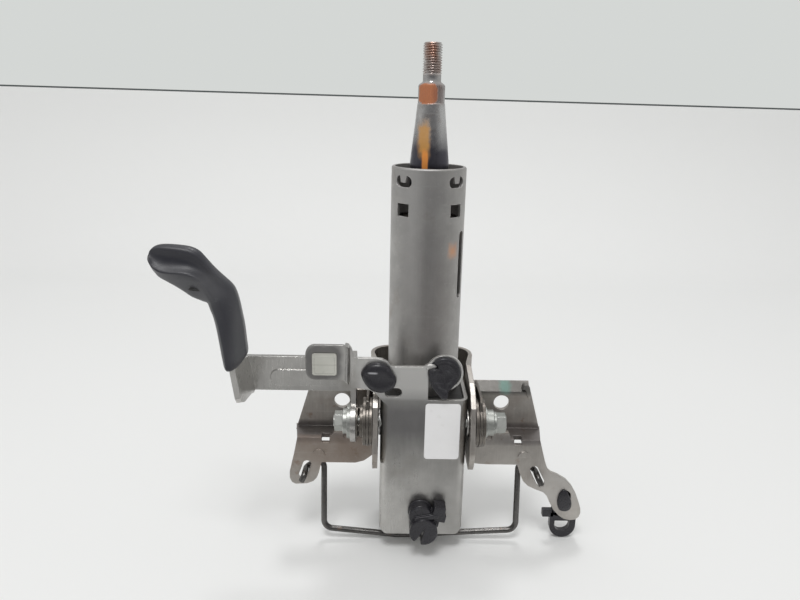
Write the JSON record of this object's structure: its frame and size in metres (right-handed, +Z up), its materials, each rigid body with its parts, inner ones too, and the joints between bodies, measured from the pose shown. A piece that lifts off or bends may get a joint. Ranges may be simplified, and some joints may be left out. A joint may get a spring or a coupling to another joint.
{
  "type": "steering column",
  "caption": "Upper steering column: jacket tube with wheel stud slides in a U-shaped body that tilts in a winged bracket, locked by a side lever with a black grip.",
  "frame": {"origin": "on the steering axis, at the lower shaft's end face, which the part stands on", "axes": "+Z up along the steering axis to the wheel stud, +X to the right as seen facing the label side, +Y away from that viewer, towards the mounting bracket's back"},
  "size_m": [0.2775, 0.11, 0.339],
  "materials": {
    "zinc_steel": "worn zinc-plated pressed steel",
    "bracket_steel": "bare pressed steel, darkened",
    "tube_steel": "drawn tube, worn and stained",
    "shaft_steel": "forged steel with rust and paint traces",
    "bright_zinc": "bright zinc plating",
    "bearing_steel": "ground steel",
    "dark_steel": "dark spring steel",
    "black_plastic": "moulded, black",
    "grey_plastic": "moulded, light grey",
    "liner_plastic": "dark sliding plastic"
  },
  "bodies": {
    "mount": {"tilt_bracket": "bracket_steel", "wing_left": "bracket_steel", "wing_right": "bracket_steel", "friction_plate_left": "bearing_steel", "friction_plate_right": "bearing_steel", "plate_rivets": "dark_steel", "bail": "dark_steel", "ear_clip": "black_plastic"},
    "column": {"column_body": "zinc_steel", "end_plate": "bracket_steel", "liner_upper": "liner_plastic", "liner_lower": "liner_plastic", "lower_bearing": "bearing_steel", "tilt_spacers": "zinc_steel", "friction_discs": "bearing_steel", "fixed_cam": "bearing_steel", "thrust_washer": "bright_zinc", "cover_grommet": "grey_plastic", "plug_left": "black_plastic", "plug_right": "black_plastic", "harness_clip": "black_plastic"},
    "jacket": {"jacket_tube": "tube_steel", "upper_bearing": "bearing_steel", "retaining_ring": "dark_steel"},
    "wheel_shaft": {"upper_shaft": "shaft_steel", "upper_inner_ring": "bearing_steel"},
    "drive_shaft": {"lower_shaft": "shaft_steel", "lower_inner_ring": "bearing_steel", "shaft_clip": "dark_steel"},
    "lever": {"lever_plate": "zinc_steel", "lever_grip": "black_plastic", "moving_cam": "bearing_steel", "clamp_bolt": "bright_zinc", "lever_washer": "bright_zinc", "lever_nut": "bright_zinc"}
  },
  "joints": [
    {"name": "tilt", "type": "hinge", "parent": "mount", "child": "column", "pos_m": [0, 0.014, 0.034], "axis": [1, 0, 0], "range_deg": [-3.5, 3.5]},
    {"name": "telescope", "type": "slide", "parent": "column", "child": "jacket", "axis": [0, 0, 1], "range_m": [-0.02, 0.02]},
    {"name": "steer", "type": "hinge", "parent": "jacket", "child": "wheel_shaft", "pos_m": [0, 0, 0.22], "axis": [0, 0, 1], "continuous": true},
    {"name": "drive", "type": "hinge", "parent": "column", "child": "drive_shaft", "pos_m": [0, 0, 0.02], "axis": [0, 0, 1], "continuous": true},
    {"name": "clamp_lever", "type": "hinge", "parent": "column", "child": "lever", "pos_m": [0, -0.029, 0.0965], "axis": [-1, 0, 0], "range_deg": [0, 28]}
  ],
  "couplings": [
    {"joint": "drive", "follows": "steer", "ratio": 1}
  ]
}
